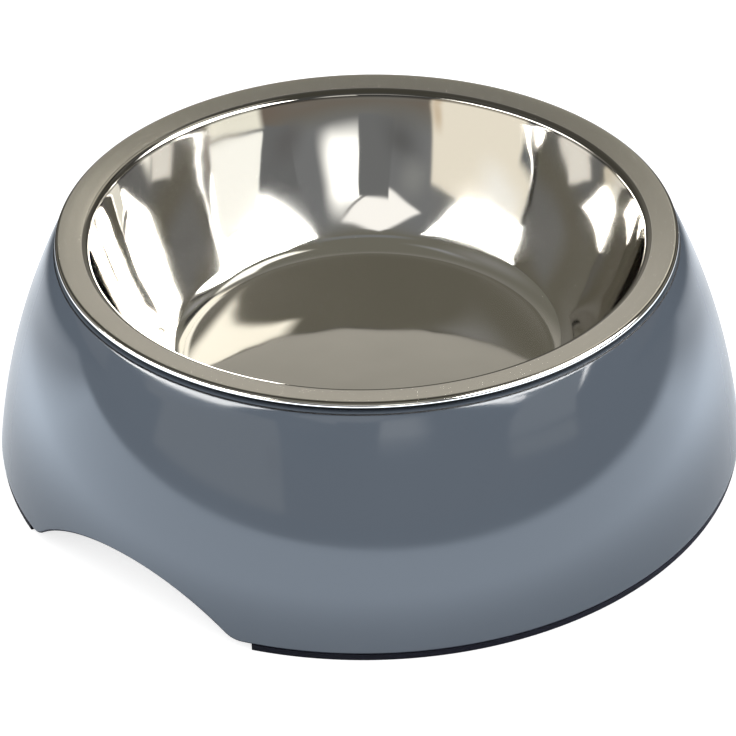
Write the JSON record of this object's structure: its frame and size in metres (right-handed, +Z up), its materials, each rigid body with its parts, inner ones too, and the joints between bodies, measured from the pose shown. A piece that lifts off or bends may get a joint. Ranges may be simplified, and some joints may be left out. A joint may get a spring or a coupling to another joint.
{
  "type": "pet bowl",
  "caption": "Round steel feeding bowl with a flat rolled rim that drops into a bell-shaped moulded stand with arched hand grips and rubber non-slip strips.",
  "frame": {"origin": "centre of the floor plane under the stand", "axes": "+Z up; the hand grips face -X and +X"},
  "size_m": [0.1954, 0.2, 0.063],
  "materials": {
    "stand_shell": "glossy blue-grey melamine",
    "steel": "mirror polished inside, satin rim",
    "strip_rubber": "matt"
  },
  "bodies": {
    "stand": {"stand": "stand_shell", "non_slip_strip_front": "strip_rubber", "non_slip_strip_back": "strip_rubber"},
    "bowl": {"steel_bowl": "steel"}
  },
  "joints": [
    {"name": "bowl_lift", "type": "slide", "parent": "stand", "child": "bowl", "axis": [0, 0, 1], "range_m": [0, 0.1]}
  ]
}
